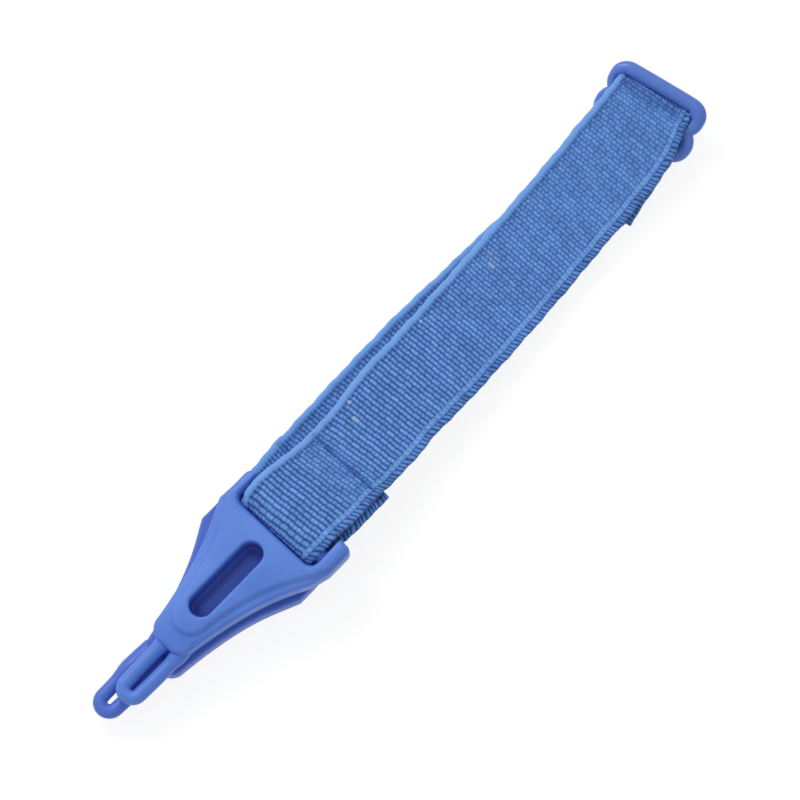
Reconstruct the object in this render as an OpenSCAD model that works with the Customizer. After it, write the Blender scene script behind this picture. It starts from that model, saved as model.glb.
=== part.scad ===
// Adjustable elastic strap, folded in half at its three-bar slider.
// The top band is sewn round the front tab's bar and threaded back through the slider;
// the lower band is sewn round the slider's low bar and round the rear tab's bar.
// X runs along the strap towards the slider, Y across it, Z up from the table.

/* [Band] */
// Width of the woven elastic band
band_w = 15; // [14.2:0.1:15.3]
// Width of the band where the slider draws it in
neck_w = 14.1; // [13:0.1:14.2]
// Thickness of the band
band_t = 1; // [0.7:0.05:1.2]
// Gap between a band and the bar or band that it lies on
play = 0.12; // [0.1:0.01:0.2]

/* [Slider] */
// Diameter of the slider's three bars
slider_bar_d = 1.9; // [1.5:0.1:2.4]
// Thickness of the slider's two ends
slider_end_t = 1.15; // [0.9:0.05:2]
// Clear width beside the band in the slider
slider_side_gap = 0.3; // [0.2:0.05:0.6]
// Corner radius of the slider's two lobes
slider_corner_r = 2.9; // [1.5:0.1:3]
// Tilt of the slider, its free bar up
slider_tilt = 30; // [20:1:34]
// Turn of the slider in plan
slider_yaw = 6; // [-6:0.5:6]

/* [Tab] */
// Width of a tab across its ears
tab_w = 19.5; // [18.9:0.1:24]
// Thickness of a tab
tab_h = 3.8; // [3:0.1:4.2]
// Length of a tab from its bar to its nose
tab_l = 25; // [23:0.1:32]
// How far the ears pass the bar
ear_l = 3.2; // [2.1:0.1:3.4]
// Width of the nose
nose_w = 7; // [6.4:0.1:10]
// Diameter of the bar that carries the band
tab_bar_d = 2; // [1.6:0.1:2.4]
// Clear width between the ears
fork_w = 15.9; // [15.7:0.1:16.6]
// Gap between the band and the nose side of its slot
slot_gap = 0.33; // [0.2:0.01:0.8]
// Depth of the step round the raised centre
rim_step = 0.7; // [0.3:0.1:1.2]
// Bevel along the tab's edges
tab_bevel = 0.35; // [0.2:0.05:0.45]

/* [Pocket and tip loop] */
// Overall length of the pocket in the raised side
pocket_l = 13.9; // [8:0.1:14.5]
// Width of the pocket
pocket_w = 3.7; // [2:0.1:4.2]
// Distance of the pocket's middle from the bar
pocket_x = 12; // [11:0.1:13]
// Thickness of the floor under the pocket
pocket_floor = 0.7; // [0.4:0.1:2]
// Diameter of the tip loop's rod
rod_d = 2; // [1.4:0.05:2.2]
// Gap between the loop's two rods
rod_gap = 0.9; // [0.6:0.05:1.6]
// How far the loop stands out of the nose
loop_l = 9.9; // [6:0.1:16]
// Offset of the loop from the tab's middle line
loop_y = -0.9; // [-0.9:0.1:0.9]
// Sideways bend of the front tab's loop
front_loop_bend = 0; // [-4:0.5:4]
// Sideways bend of the rear tab's loop
rear_loop_bend = 4; // [-4:0.5:6]

/* [Layout] */
// Distance from the slider's middle bar to the front tab's bar
front_reach = 87; // [80:0.25:120]
// Distance from the slider's middle bar to the rear tab's bar
rear_reach = 89.8; // [83:0.1:123]
// Height of the front tab's bar above the table
front_bar_z = 7.6; // [7.2:0.1:9]
// Turn of the front tab in plan
front_yaw = 4; // [0:0.5:6]
// Turn of the rear tab in plan
rear_yaw = 1; // [0:0.5:8]
// Nose-down lean of the front tab
front_pitch = 2.2; // [0:0.1:2.2]
// Sideways place of the slider
slider_y = 0.3; // [-0.5:0.1:0.5]
// Sideways place of the front tab's bar
front_y = 0.6; // [-0.5:0.1:1.5]
// Sideways place of the rear tab's bar
rear_y = 1.6; // [-0.5:0.1:2]
// Sideways shift of the lower band between the rear tab's bar and its seam
rear_shift = 1.8; // [-2:0.1:2]
// Sideways bow of the lower band
lower_bow = 0.8; // [-1:0.1:1.5]

/* [Sewing] */
// Distance from a tab's bar to its stitch row
tab_seam_x = 12.55; // [11:0.05:12.8]
// Bare band between a tab's stitch row and the cut end
cut_end = 1.3; // [0.8:0.1:1.4]
// Length of the free tail past the slider's sewn bar
tail_l = 13.2; // [11:0.1:13.5]
// Distance from the slider's sewn bar to its stitch row
slider_seam_x = 6.7; // [6:0.1:6.9]
// Thickness of the sewing thread
thread_d = 0.34; // [0.2:0.02:0.4]
// Distance between stitches
stitch = 1.6; // [1.2:0.1:2.4]

/* [Hidden] */
$fn = 48;
slider_r = slider_bar_d / 2;
slider_inner_w = neck_w + slider_side_gap;
slider_w = slider_inner_w + 2 * slider_end_t;
bar_r = tab_bar_d / 2;
layer = band_t + play;
// centre lines of the bands round a slider bar and round a tab bar
slider_wrap_r = slider_r + play + band_t / 2;
tab_wrap_r = bar_r + play + band_t / 2;
// the slots pass two layers of band, so they set the spacing of the bars
slider_pitch = slider_bar_d + 2 * band_t + 3 * play;
tail_wrap_r = slider_pitch - slider_wrap_r;
sewn_bar = [-slider_pitch * cos(slider_tilt), band_t + play + slider_r];
middle_bar = [0, sewn_bar.y + slider_pitch * sin(slider_tilt)];
free_bar = [-sewn_bar.x, middle_bar.y + slider_pitch * sin(slider_tilt)];
throat_l = 1.2;
ear_r = 1.8;
run_neck_l = 30;
shift_x = 3;
face_gap = 0.05;
// legs of the sewn loops, measured from their bars
tab_leg = tab_seam_x + cut_end;
tab_loop_end = tab_leg + 0.35;
slider_leg = slider_seam_x + cut_end;
slider_loop_end = slider_leg + 0.3;
loop_r = (rod_d + rod_gap) / 2;
slot_x = bar_r + play + band_t + slot_gap;
rear_bar_z = band_t + play + bar_r;

function turned(p, a) = [p.x * cos(a) - p.y * sin(a), p.x * sin(a) + p.y * cos(a)];
front_bar = [-front_reach, front_y];
rear_bar = [-rear_reach, rear_y];
slider_at = [0, slider_y];
// where the two runs meet the sewn loops
upper_end = front_bar + turned([tab_loop_end, 0], -front_yaw);
lower_start = slider_at + turned([sewn_bar.x - slider_loop_end, 0], slider_yaw);
lower_end = rear_bar + turned([tab_loop_end, rear_shift], -rear_yaw);

// the frame stands at the middle of the whole strap
tip_x = tab_l + loop_l;
tip_r = loop_r + rod_d / 2;
x_low = rear_bar.x - (tip_x - tip_r) * cos(rear_yaw) - tip_r;
x_high = (free_bar.x + slider_r) * cos(slider_yaw)
    + (slider_w / 2 - slider_corner_r) * sin(abs(slider_yaw));
y_high = rear_bar.y + tab_w / 2 * cos(rear_yaw) + 3.8 * sin(rear_yaw);
y_low = front_bar.y - tab_w / 2 * cos(front_yaw) - (ear_l - ear_r) * sin(front_yaw);
middle = [(x_low + x_high) / 2, (y_low + y_high) / 2];

// a path is a list of [x, z, heading]
function arc_path(c, r, a0, a1, n) = [for (i = [0:n])
    let (a = a0 + (a1 - a0) * i / n)
    [c.x + r * cos(a), c.y + r * sin(a), a + (a1 > a0 ? 90 : -90)]];
function mix(a, b, c, d, t) = (2 * b + (c - a) * t + (2 * a - 5 * b + 4 * c - d) * t * t
    + (3 * b - a - 3 * c + d) * t * t * t) / 2;
function slope(a, b, c, d, t) = (c - a) + 2 * (2 * a - 5 * b + 4 * c - d) * t
    + 3 * (3 * b - a - 3 * c + d) * t * t;
function knot(k, i) = k[min(max(i, 0), len(k) - 1)];
function on_curve(k, i, t) =
    let (p = mix(knot(k, i - 1), knot(k, i), knot(k, i + 1), knot(k, i + 2), t),
        s = slope(knot(k, i - 1), knot(k, i), knot(k, i + 1), knot(k, i + 2), t))
    [p.x, p.y, atan2(s.y, s.x)];
function curve_path(k, n) = concat([for (i = [0:len(k) - 2]) for (j = [0:n - 1]) on_curve(k, i, j / n)],
    [on_curve(k, len(k) - 2, 1)]);
function after_first(p) = [for (i = [1:len(p) - 1]) p[i]];
function before_last(p) = [for (i = [0:len(p) - 2]) p[i]];
function beside(p, d) = [for (q = p) [q.x - d * sin(q.z), q.y + d * cos(q.z)]];
function reversed(p) = [for (i = [len(p) - 1:-1:0]) p[i]];
function moved(p, c) = [for (q = p) q + c];

// a stretch of band along a path in the XZ plane
module band(path, w) {
    rotate([90, 0, 0]) linear_extrude(w, center = true)
        polygon(concat(beside(path, band_t / 2), reversed(beside(path, -band_t / 2))));
}

// plan outline of a stretch of band through stations [x, y, width]
module strip(stations) {
    polygon(concat([for (s = stations) [s.x, s.y + s.z / 2]],
        [for (s = reversed(stations)) [s.x, s.y - s.z / 2]]));
}

module placed() translate([-middle.x, -middle.y, 0]) children();
module at_slider() placed() translate([slider_at.x, slider_at.y, 0]) rotate(slider_yaw) children();
module at_front() placed() translate([front_bar.x, front_bar.y, front_bar_z])
    rotate(-front_yaw) children();
module at_rear() placed() translate([rear_bar.x, rear_bar.y, rear_bar_z]) rotate(-rear_yaw) children();

// everything of a run that lies past a seam's cut, to either side
far = 4 * band_w;
module beyond(x, side) translate([side > 0 ? x : x - far, -far / 2, -far / 2]) cube(far);

// knots of the top run's centre line, from over the slider to the front seam
run_top = middle_bar.y + slider_wrap_r;
run_knots = concat(
    [for (k = [[0, 1], [0.61, 1.028], [1.315, 0.974], [1.995, 0.797], [2.817, 0.676], [3.873, 0.589],
        [5.164, 0.511]]) [-k.x * slider_pitch, k.y * run_top]],
    [for (k = [[0.416, 0.368], [0.527, 0.395], [0.638, 0.467], [0.749, 0.566], [0.86, 0.684],
        [0.944, 0.783], [1.0137, 0.8947]]) [-k.x * (front_reach - tab_loop_end), k.y * front_bar_z]]);

// the top band's turn round the middle bar: tight below it, loose in the free bar's slot
turn_arc = arc_path(middle_bar, slider_wrap_r, slider_tilt - 180, -60, 12);
turn_knots = [for (k = [[0.5, -0.866], [1.146, -0.56], [1.5, -0.1], [1.55, 0.32], [1.4, 0.72],
    [1, 0.97], [0.5, 1.03], [0, 1]]) middle_bar + slider_wrap_r * k];
turn_path = concat(before_last(turn_arc), curve_path(turn_knots, 3));
turn_cut = len(turn_arc) + 5;

module top_throat() {
    color("steelblue") at_slider()
        band(concat([for (i = [turn_cut:len(turn_path) - 1]) turn_path[i]],
            [[-throat_l, run_top + 0.08, 176]]), neck_w);
}

module top_wrap() {
    color("steelblue") at_slider() band([for (i = [0:turn_cut]) turn_path[i]], neck_w);
}

module top_tail() {
    rest = layer - slider_wrap_r;
    knots = [for (k = [[0.45, 1.34], [0.65, 1.0625], [0.95, 1.01], [1.225, 0.625]])
        [-k.x * slider_leg, rest + k.y * layer]];
    end = [-tail_l, rest + 0.09 * layer];
    around = arc_path(sewn_bar, tail_wrap_r, slider_tilt, slider_tilt + 90, 12);
    last = around[len(around) - 1];
    color("steelblue") at_slider()
        band(concat(before_last(around),
            curve_path(concat([[last.x, last.y]], moved(knots, sewn_bar), [end + sewn_bar]), 3)), neck_w);
}

module top_run() {
    color("steelblue") difference() {
        placed() intersection() {
            band(curve_path(run_knots, 3), band_w);
            linear_extrude(3 * front_bar_z) strip([
                [-front_reach, upper_end.y + 0.4, band_w], [upper_end.x, upper_end.y, band_w],
                [-2 * run_neck_l, 0, band_w], [-run_neck_l, 0, band_w], [1, 0, neck_w]]);
        }
        at_slider() beyond(-throat_l - face_gap, 1);
        at_front() beyond(tab_loop_end + face_gap, -1);
    }
}

// upper leg, turn round the bar and sewn lower leg of the top band
module front_bar_loop() {
    upper = [[tab_loop_end + 0.3, -0.96], [10, -0.2], [6, 0.6], [3, 1.25], [0, tab_wrap_r]];
    lower = [[0, -tab_wrap_r], [3, -1.52], [6, -1.27], [9, -1.22], [11.5, -1.61], [tab_leg, -2]];
    color("steelblue") at_front() difference() {
        band(concat(before_last(curve_path(upper, 3)), arc_path([0, 0], tab_wrap_r, 90, 270, 18),
            after_first(curve_path(lower, 3))), band_w);
        beyond(tab_loop_end, 1);
    }
}

// the same loop of the lower band, lying flat, its sewn leg on the upper side
module rear_bar_loop() {
    leg = [[0, tab_wrap_r], [2.5, 1.35], [5, 0.35], [7.2, -0.3], [9.5, layer - tab_wrap_r],
        [tab_leg, layer - tab_wrap_r]];
    color("steelblue") at_rear() intersection() {
        band(concat([[tab_loop_end, -tab_wrap_r, 180]], arc_path([0, 0], tab_wrap_r, -90, -270, 18),
            after_first(curve_path(leg, 3))), band_w + 2 * abs(rear_shift) + 1);
        linear_extrude(4 * tab_wrap_r, center = true) strip([[-4, 0, band_w], [shift_x, 0, band_w],
            [tab_loop_end, rear_shift, band_w], [tab_loop_end + 1, rear_shift, band_w]]);
    }
}

module slider_bar_loop() {
    around = arc_path([0, 0], slider_wrap_r, -90, slider_tilt + 90, 24);
    last = around[len(around) - 1];
    rest = layer - slider_wrap_r;
    leg = [[last.x, last.y], [-2.8, 0.2], [-4.2, rest + 0.1], [-5.5, rest], [-slider_leg, rest]];
    color("steelblue") at_slider() translate([sewn_bar.x, 0, sewn_bar.y])
        band(concat([[-slider_loop_end, -slider_wrap_r, 0]], before_last(around),
            curve_path(leg, 3)), neck_w);
}

module lower_run() {
    way = lower_start - lower_end;
    color("steelblue") difference() {
        placed() linear_extrude(band_t) strip([for (i = [-1:17]) let (t = i / 16)
            [lower_end.x + way.x * t, lower_end.y + way.y * t + 4 * lower_bow * t * (1 - t),
                band_w - (band_w - neck_w) * max(0, 3 * t - 2)]]);
        at_slider() beyond(sewn_bar.x - slider_loop_end, 1);
        at_rear() beyond(tab_loop_end + face_gap, -1);
    }
}

// a row of stitches through layers that reach from z = low to z = high
module stitch_row(low, high) {
    count = floor((neck_w - 1.6) / stitch);
    half = count * stitch / 2;
    for (i = [0:count]) translate([0, i * stitch - half, low + thread_d / 2])
        cylinder(h = high - low - thread_d / 2, d = thread_d, $fn = 8);
    for (z = [low + thread_d / 2, high - thread_d / 2 + 0.05]) translate([0, -half, z])
        rotate([-90, 0, 0]) cylinder(h = 2 * half, d = thread_d, $fn = 8);
}

module front_seam() {
    color("royalblue") at_front() translate([tab_seam_x, 0, 0])
        stitch_row(-1.79 - band_t / 2, -0.63 + band_t / 2);
}

module rear_seam() {
    along = (tab_seam_x - shift_x) / (tab_loop_end - shift_x);
    color("royalblue") at_rear() translate([tab_seam_x, rear_shift * along, 0])
        stitch_row(-rear_bar_z, layer + band_t - rear_bar_z);
}

module slider_seam() {
    color("royalblue") at_slider() translate([sewn_bar.x - slider_seam_x, 0, 0])
        stitch_row(0, layer + band_t);
}

function bezier(p, t) = pow(1 - t, 3) * p[0] + 3 * t * pow(1 - t, 2) * p[1]
    + 3 * t * t * (1 - t) * p[2] + pow(t, 3) * p[3];
function corner(c, r, a0, a1) = [for (i = [0:5]) c + r * [cos(a0 + (a1 - a0) * i / 5),
    sin(a0 + (a1 - a0) * i / 5)]];
function both_sides(half) = concat(half, [for (p = reversed(half)) [p.x, -p.y]]);
nose_r = 2.4;
shoulder = [-0.152 * tab_l, tab_w / 2 - 0.15];
waist = [-tab_l + nose_r, nose_w / 2];

// outline of a tab, drawn in by d
function tab_outline(d) = both_sides(concat(
    corner([ear_l - ear_r, tab_w / 2 - ear_r], ear_r - d, 0, 90),
    [for (i = [0:12]) bezier([shoulder, [-0.288 * tab_l, 0.415 * tab_w],
        [-0.408 * tab_l, 0.79 * nose_w], waist], i / 12) - [0, d]],
    after_first(corner([waist.x, nose_w / 2 - nose_r], nose_r - d, 90, 180))));
// outline of the raised centre, with a round nose of its own
rise_nose = [-0.796 * tab_l, 0.35 * nose_w];
function rise_outline(d) = both_sides(concat(
    corner([ear_l - ear_r, tab_w / 2 - ear_r], ear_r - 0.6 - d, 0, 90),
    [for (i = [0:12]) bezier([[-0.12 * tab_l, tab_w / 2 - 0.7], [-0.28 * tab_l, 0.328 * tab_w],
        [-0.42 * tab_l, 0.514 * nose_w], rise_nose], i / 12) - [0, d]],
    after_first(corner([rise_nose.x, 0], rise_nose.y - d, 90, 180))));

module slab(z0, z1, outline) translate([0, 0, z0]) linear_extrude(z1 - z0) polygon(outline);

// two-rod loop at the tip, rooted in the nose
module tip_loop(bend) {
    root = tab_l - 2;
    translate([-root, loop_y, (rod_d - tab_h) / 2]) rotate(bend) {
        for (y = [-loop_r, loop_r]) translate([root + tip_r - tip_x, y, 0]) rotate([0, 90, 0])
            cylinder(h = tip_x - tip_r - root, d = rod_d);
        translate([root + tip_r - tip_x, 0, 0]) rotate(90) rotate_extrude(angle = 180)
            translate([loop_r, 0]) circle(d = rod_d);
    }
}

// a moulded tab, its bar at the origin and its nose to -X
module tab(bend) {
    low = -tab_h / 2;
    rim = tab_h / 2 - rim_step;
    top = tab_h / 2;
    difference() {
        union() {
            slab(low, low + tab_bevel, tab_outline(tab_bevel));
            slab(low + tab_bevel, rim - tab_bevel, tab_outline(0));
            slab(rim - tab_bevel, rim, tab_outline(tab_bevel));
            slab(rim, top - tab_bevel / 2, rise_outline(0));
            slab(top - tab_bevel / 2, top, rise_outline(tab_bevel));
        }
        translate([-slot_x, -fork_w / 2, -tab_h]) cube([slot_x + ear_l + 1, fork_w, 2 * tab_h]);
        for (x = [-1, 1]) translate([x * (pocket_l - pocket_w) / 2 - pocket_x, 0, low + pocket_floor])
            cylinder(h = tab_h, d = pocket_w);
        translate([-pocket_x - (pocket_l - pocket_w) / 2, -pocket_w / 2, low + pocket_floor])
            cube([pocket_l - pocket_w, pocket_w, tab_h]);
    }
    translate([0, fork_w / 2 + 0.3, 0]) rotate([90, 0, 0]) cylinder(h = fork_w + 0.6, d = tab_bar_d);
    tip_loop(bend);
}

module front_tab() color("cornflowerblue") at_front() rotate([0, -front_pitch, 0])
    tab(-front_loop_bend);

// folded under, so its raised side faces down
module rear_tab() color("royalblue") at_rear() rotate([180, 0, 0])
    tab(rear_loop_bend);

// the slider's outline in its own plane: two rounded lobes
module slider_outline() {
    reach = [slider_pitch / 2 + slider_r - slider_corner_r, slider_w / 2 - slider_corner_r];
    for (m = [-1, 1]) translate([m * slider_pitch / 2, 0]) {
        for (x = [-1, 1], y = [-1, 1]) translate([x * reach.x, y * reach.y])
            circle(slider_corner_r);
        square([2 * reach.x, slider_w], center = true);
        square([2 * (reach.x + slider_corner_r), 2 * reach.y], center = true);
    }
}

// two end pieces and the three round bars between them
module slider() {
    color("mediumblue") at_slider() translate([0, 0, middle_bar.y]) rotate([0, -slider_tilt, 0]) {
        difference() {
            linear_extrude(slider_bar_d, center = true) slider_outline();
            cube([4 * slider_pitch, slider_inner_w, 2 * slider_bar_d], center = true);
        }
        intersection() {
            linear_extrude(2 * slider_bar_d, center = true) slider_outline();
            for (x = [-1, 0, 1]) translate([x * slider_pitch, slider_inner_w / 2 + 0.2, 0])
                rotate([90, 0, 0]) cylinder(h = slider_inner_w + 0.4, d = slider_bar_d);
        }
    }
}

top_run();
top_throat();
top_wrap();
top_tail();
front_bar_loop();
front_seam();
front_tab();
lower_run();
slider_bar_loop();
slider_seam();
rear_bar_loop();
rear_seam();
rear_tab();
slider();
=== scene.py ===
import math

import bmesh
import bpy
import numpy as np
from mathutils import Matrix, Vector


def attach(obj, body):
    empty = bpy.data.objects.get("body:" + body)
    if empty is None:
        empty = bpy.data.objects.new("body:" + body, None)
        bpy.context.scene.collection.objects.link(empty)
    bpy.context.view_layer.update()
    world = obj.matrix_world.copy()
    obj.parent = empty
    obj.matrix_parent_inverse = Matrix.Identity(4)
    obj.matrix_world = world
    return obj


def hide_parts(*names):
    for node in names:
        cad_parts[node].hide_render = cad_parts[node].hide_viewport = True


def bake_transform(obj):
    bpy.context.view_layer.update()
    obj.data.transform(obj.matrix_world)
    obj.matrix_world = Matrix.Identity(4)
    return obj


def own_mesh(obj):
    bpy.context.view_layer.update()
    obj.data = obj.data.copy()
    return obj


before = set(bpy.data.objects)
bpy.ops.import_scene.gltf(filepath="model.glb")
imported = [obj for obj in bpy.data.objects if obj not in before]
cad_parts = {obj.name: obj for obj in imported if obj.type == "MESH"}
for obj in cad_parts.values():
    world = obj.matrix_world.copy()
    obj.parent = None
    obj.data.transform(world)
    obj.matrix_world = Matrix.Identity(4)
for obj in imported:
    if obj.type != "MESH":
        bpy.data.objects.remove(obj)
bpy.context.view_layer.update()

mm = 0.001


def plug(tree, slot, x):
    if isinstance(x, Value):
        tree.links.new(x.socket, slot)
    else:
        slot.default_value = x


def addNode(tree, kind, settings=None, sockets=None, output=0):
    node = tree.nodes.new(kind)
    for setting, x in (settings or {}).items():
        setattr(node, setting, x)
    for slot, x in (sockets or {}).items():
        plug(tree, node.inputs[slot], x)
    return Value(tree, node.outputs[output])


class Value:  # a node socket that adds, subtracts and multiplies like a number
    def __init__(self, tree, socket):
        self.tree = tree
        self.socket = socket

    def maths(self, operation, a, b=0.0, clamp=False):
        settings = {"operation": operation, "use_clamp": clamp}
        return addNode(self.tree, "ShaderNodeMath", settings, {0: a, 1: b})

    def __add__(self, other):
        return self.maths("ADD", self, other)

    def __radd__(self, other):
        return self.maths("ADD", other, self)

    def __sub__(self, other):
        return self.maths("SUBTRACT", self, other)

    def __rsub__(self, other):
        return self.maths("SUBTRACT", other, self)

    def __mul__(self, other):
        return self.maths("MULTIPLY", self, other)

    def __rmul__(self, other):
        return self.maths("MULTIPLY", other, self)

    def clamped(self):
        return self.maths("ADD", self, 0.0, clamp=True)


class Finish:  # a material under construction, its Principled shader ready
    def __init__(self, name, constants):
        self.material = bpy.data.materials.new(name)
        self.material.use_nodes = True
        self.tree = self.material.node_tree
        self.shader = self.tree.nodes["Principled BSDF"]
        for socket, number in constants.items():
            self.shader.inputs[socket].default_value = number

    def node(self, kind, settings=None, sockets=None, output=0):
        return addNode(self.tree, kind, settings, sockets, output)

    def feed(self, socket, x):
        plug(self.tree, self.shader.inputs[socket], x)

    def mix(self, factor, a, b, blend="MIX"):  # two colours
        settings = {"data_type": "RGBA", "blend_type": blend}
        return self.node("ShaderNodeMix", settings, {0: factor, 6: a, 7: b}, output=2)

    def attribute(self, name, output=2):  # a number kept on the mesh, or a vector from output 1
        return self.node("ShaderNodeAttribute", {"attribute_name": name}, output=output)

    def noise(self, vector, scale, detail=2.0, roughness=0.5):
        return self.node("ShaderNodeTexNoise", None,
                         {"Vector": vector, "Scale": scale, "Detail": detail, "Roughness": roughness})

    def stretched(self, vector, scale):
        return self.node("ShaderNodeMapping", None, {"Vector": vector, "Scale": scale})

    def spread(self, x, low, high, newLow, newHigh):
        return self.node("ShaderNodeMapRange", None,
                         {"Value": x, "From Min": low, "From Max": high, "To Min": newLow, "To Max": newHigh})

    def bump(self, height, strength, distance, under=None):
        sockets = {"Height": height, "Strength": strength, "Distance": distance}
        if under is not None:
            sockets["Normal"] = under
        return self.node("ShaderNodeBump", None, sockets)


def linear(red, green, blue):  # a colour as a screen shows it, 0 to 255
    out = []
    for c in (red, green, blue):
        c = c / 255
        out.append(c / 12.92 if c <= 0.04045 else ((c + 0.055) / 1.055) ** 2.4)
    return (*out, 1.0)


# shared by all the pieces, in mm, with the slider at the origin
layout = {
    "middle": (-59.7558, 1.09546),  # what the row frame stands on
    "slider": (0.0, 0.3, 0.0),
    "sliderYaw": 6.0,
    "sliderTilt": 30.0,
    "frontBar": (-87.0, 0.6, 7.6),
    "frontYaw": -4.0,
    "frontPitch": 2.2,
    "rearBar": (-89.8, 1.6, 2.12),
    "rearYaw": -1.0,
    "sewnBar": (-3.689, 2.07),
    "middleBar": (0.0, 4.2),
    "barPitch": 4.26,
    "stitch": 1.6,  # of the seams
}


def inRow(point):  # layout mm to the row frame in metres
    x, y, z = point
    return Vector(((x - layout["middle"][0]) * mm, (y - layout["middle"][1]) * mm, z * mm))


def placing(origin, yaw, *turns):  # matrix from a part's own mm to the row frame
    place = Matrix.Translation(inRow(origin)) @ Matrix.Rotation(math.radians(yaw), 4, "Z")
    for angle, axis in turns:
        place = place @ Matrix.Rotation(math.radians(angle), 4, axis)
    return place @ Matrix.Scale(mm, 4)


def finished(bm, name, finish):
    mesh = bpy.data.meshes.new(name)
    bm.to_mesh(mesh)
    bm.free()
    piece = bpy.data.objects.new(name, mesh)
    bpy.context.scene.collection.objects.link(piece)
    mesh.materials.append(finish.material)
    return piece


def plasticFinish(name, look):
    finish = Finish(name, {"IOR": 1.46, "Specular IOR Level": look["shine"], "Sheen Weight": 0.0})
    where = finish.node("ShaderNodeTexCoord", output=3)
    flow = finish.noise(where, 90.0, 2.0)  # slow drift of the moulded colour
    grain = finish.noise(where, 2600.0, 3.0, 0.6)
    wear = finish.noise(where, 520.0, 4.0, 0.65)
    tone = finish.mix(finish.spread(flow, 0.3, 0.7, 0.0, 1.0), look["deep"], look["pale"])
    tone = finish.mix(finish.attribute("pocketShade"), tone, look["pocketShade"])  # painted shade, darker inside the pocket
    scuff = finish.spread(wear, 0.62, 0.78, 0.0, look["scuffs"])
    finish.feed("Base Color", finish.mix(scuff, tone, look["scuffed"]))
    finish.feed("Roughness", finish.spread(wear, 0.25, 0.75, look["smooth"], look["rough"]))
    small = finish.bump(grain, look["grain"], 0.00002)
    wavy = finish.bump(finish.noise(where, 240.0, 1.0), look["waves"], 0.0001, small)
    finish.feed("Normal", wavy)
    return finish


tabLook = {
    "deep": linear(88, 130, 224), "pale": linear(100, 145, 235),
    # pocketShade: the colour of the painted shade inside a tab's pocket
    "scuffed": linear(126, 160, 234), "pocketShade": linear(50, 74, 168),
    "scuffs": 0.22, "smooth": 0.34, "rough": 0.5, "shine": 0.45, "grain": 0.12, "waves": 0.1,
}
# painted shade: the rear tab gets a darker copy of the tab plastic, for the shade it lies in under the front
# tab
rearShadedLook = dict(tabLook, deep=linear(78, 112, 212), pale=linear(88, 124, 220))
sliderLook = {
    "deep": linear(88, 124, 212), "pale": linear(100, 138, 224),
    # pocketShade: painted shade for a pocket, unused here as the slider carries no such attribute
    "scuffed": linear(134, 158, 228), "pocketShade": linear(52, 70, 140),
    "scuffs": 0.2, "smooth": 0.26, "rough": 0.4, "shine": 0.5, "grain": 0.08, "waves": 0.08,
}

# painted light in the weave: the groove colour darkens its low parts as painted shade, the crest colour
# lightens its raised floats as a painted highlight
clothLook = {
    "groove": linear(30, 64, 140), "body": linear(94, 145, 218), "crest": linear(128, 176, 244),
    # edge: the rolled edge's colour, a painted highlight on its ridge
    "fleck": linear(178, 200, 228), "edge": linear(120, 172, 242), "rough": 0.78, "sheen": 0.25,
}
# the thread is darker than the cloth, partly its own colour and partly painted shade of the groove it sits in
threadLook = dict(clothLook, groove=linear(24, 54, 122), body=linear(52, 96, 176), crest=linear(74, 122, 202))


def clothFinish(name, look):
    finish = Finish(name, {"Specular IOR Level": 0.28, "Sheen Weight": look["sheen"],
                           "Sheen Roughness": 0.5, "Sheen Tint": (0.75, 0.85, 1.0, 1.0)})
    crest, luck, fleck, rolled = (finish.attribute(name) for name in ("crest", "luck", "fleck", "rolled"))
    along = finish.attribute("yarnPlace", 1)
    fibre = finish.noise(finish.stretched(along, (1.6, 6.0, 6.0)), 1.7, 3.0, 0.6)
    cloud = finish.noise(along, 0.16, 2.0)
    # low in the weave painted dark (painted shade), high in it painted light (painted highlight)
    low = finish.mix(finish.spread(crest, 0.12, 0.62, 0.0, 1.0), look["groove"], look["body"])
    tone = finish.mix(finish.spread(crest, 0.6, 1.05, 0.0, 1.0), low, look["crest"])
    # painted highlight: the rolled edge made paler
    tone = finish.mix(rolled * 0.75, tone, look["edge"])
    shade = finish.spread(luck * 0.3 + fibre * 0.6 + cloud * 0.5, 0.35, 1.05, 0.82, 1.14)
    grey = finish.node("ShaderNodeCombineColor", None, {0: shade, 1: shade, 2: shade})
    tone = finish.mix(1.0, tone, grey, "MULTIPLY")
    finish.feed("Base Color", finish.mix(fleck, tone, look["fleck"]))
    finish.feed("Roughness", finish.spread(fibre, 0.3, 0.7, look["rough"] - 0.08, look["rough"] + 0.1))
    finish.feed("Normal", finish.bump(fibre, 0.35, 0.00006))
    return finish


tabPlastic = plasticFinish("tabPlastic", tabLook)
rearShadedPlastic = plasticFinish("rearTabShadedPlastic", rearShadedLook)
sliderPlastic = plasticFinish("sliderPlastic", sliderLook)
wovenBand = clothFinish("wovenBand", clothLook)
sewingThread = clothFinish("sewingThread", threadLook)
print("finishes made")


bandSize = {
    "width": 15.0, "neckWidth": 14.1, "thickness": 1.0, "flat": 7.0,  # flat this far out from the middle
    "wale": 0.7,  # half a brick of the weave, across the band
    "relief": 0.17, "edgeRelief": 0.2, "bead": 0.12,  # bead: how proud the rolled edge stands
    "loops": 1.1, "chain": 2.0,  # how far in the looped edge and the chain beside it reach
    "valley": 6.1, "rolled": 6.2,  # groove beside the other, rolled edge, and where that edge starts
}


def arcPath(centre, radius, start, end, count):
    turn = np.radians(np.linspace(start, end, count + 1))
    return np.stack([centre[0] + radius * np.cos(turn), centre[1] + radius * np.sin(turn)], 1)


def curvePath(knots, perSpan=10):  # smooth curve through the knots
    k = np.array(knots, float)
    k = np.vstack([k[:1], k, k[-1:]])
    out = []
    for i in range(1, len(k) - 2):
        a, b, c, d = k[i - 1:i + 3]
        for t in np.arange(perSpan) / perSpan:
            out.append((2 * b + (c - a) * t + (2 * a - 5 * b + 4 * c - d) * t ** 2
                        + (3 * b - a - 3 * c + d) * t ** 3) / 2)
    return np.vstack([out, k[-1:]])


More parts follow.
